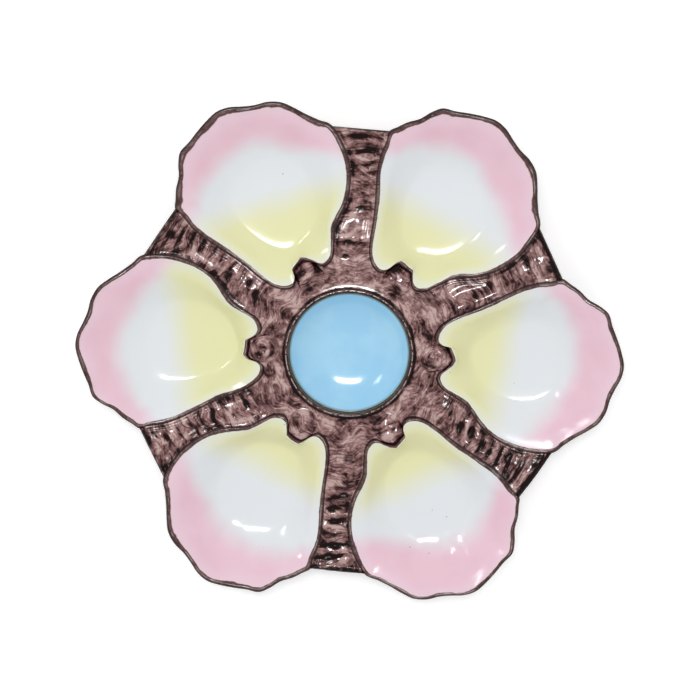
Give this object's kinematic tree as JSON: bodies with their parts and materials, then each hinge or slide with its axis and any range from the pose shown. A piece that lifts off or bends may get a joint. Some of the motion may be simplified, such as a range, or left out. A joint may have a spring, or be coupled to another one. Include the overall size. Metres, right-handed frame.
{
  "type": "oyster plate",
  "caption": "Majolica-style oyster plate: shell-shaped wells round a central sauce well, joined by ridged brown bark.",
  "frame": {"origin": "on the table under the middle of the plate", "axes": "+Z up from the table, +X along the axis of shell_1, +Y up in the picture"},
  "size_m": [0.2298, 0.2112, 0.026],
  "materials": {
    "shell_glaze": "gloss, shaded yellow to white to pink",
    "bark_glaze": "gloss, mottled manganese brown",
    "blue_glaze": "gloss",
    "bead_glaze": "gloss",
    "bare_clay": "wiped, partly unglazed"
  },
  "bodies": {
    "root": {"foot_ring": "bare_clay", "sauce_well": "blue_glaze", "sauce_bead": "bead_glaze", "hub": "bark_glaze", "shell_1": "shell_glaze", "shell_2": "shell_glaze", "shell_3": "shell_glaze", "shell_4": "shell_glaze", "shell_5": "shell_glaze", "shell_6": "shell_glaze", "bark_1": "bark_glaze", "bark_2": "bark_glaze", "bark_3": "bark_glaze", "bark_4": "bark_glaze", "bark_5": "bark_glaze", "bark_6": "bark_glaze", "barnacle_1": "bark_glaze", "barnacle_2": "bark_glaze", "barnacle_3": "bark_glaze", "barnacle_4": "bark_glaze", "barnacle_5": "bark_glaze", "barnacle_6": "bark_glaze"}
  },
  "joints": []
}
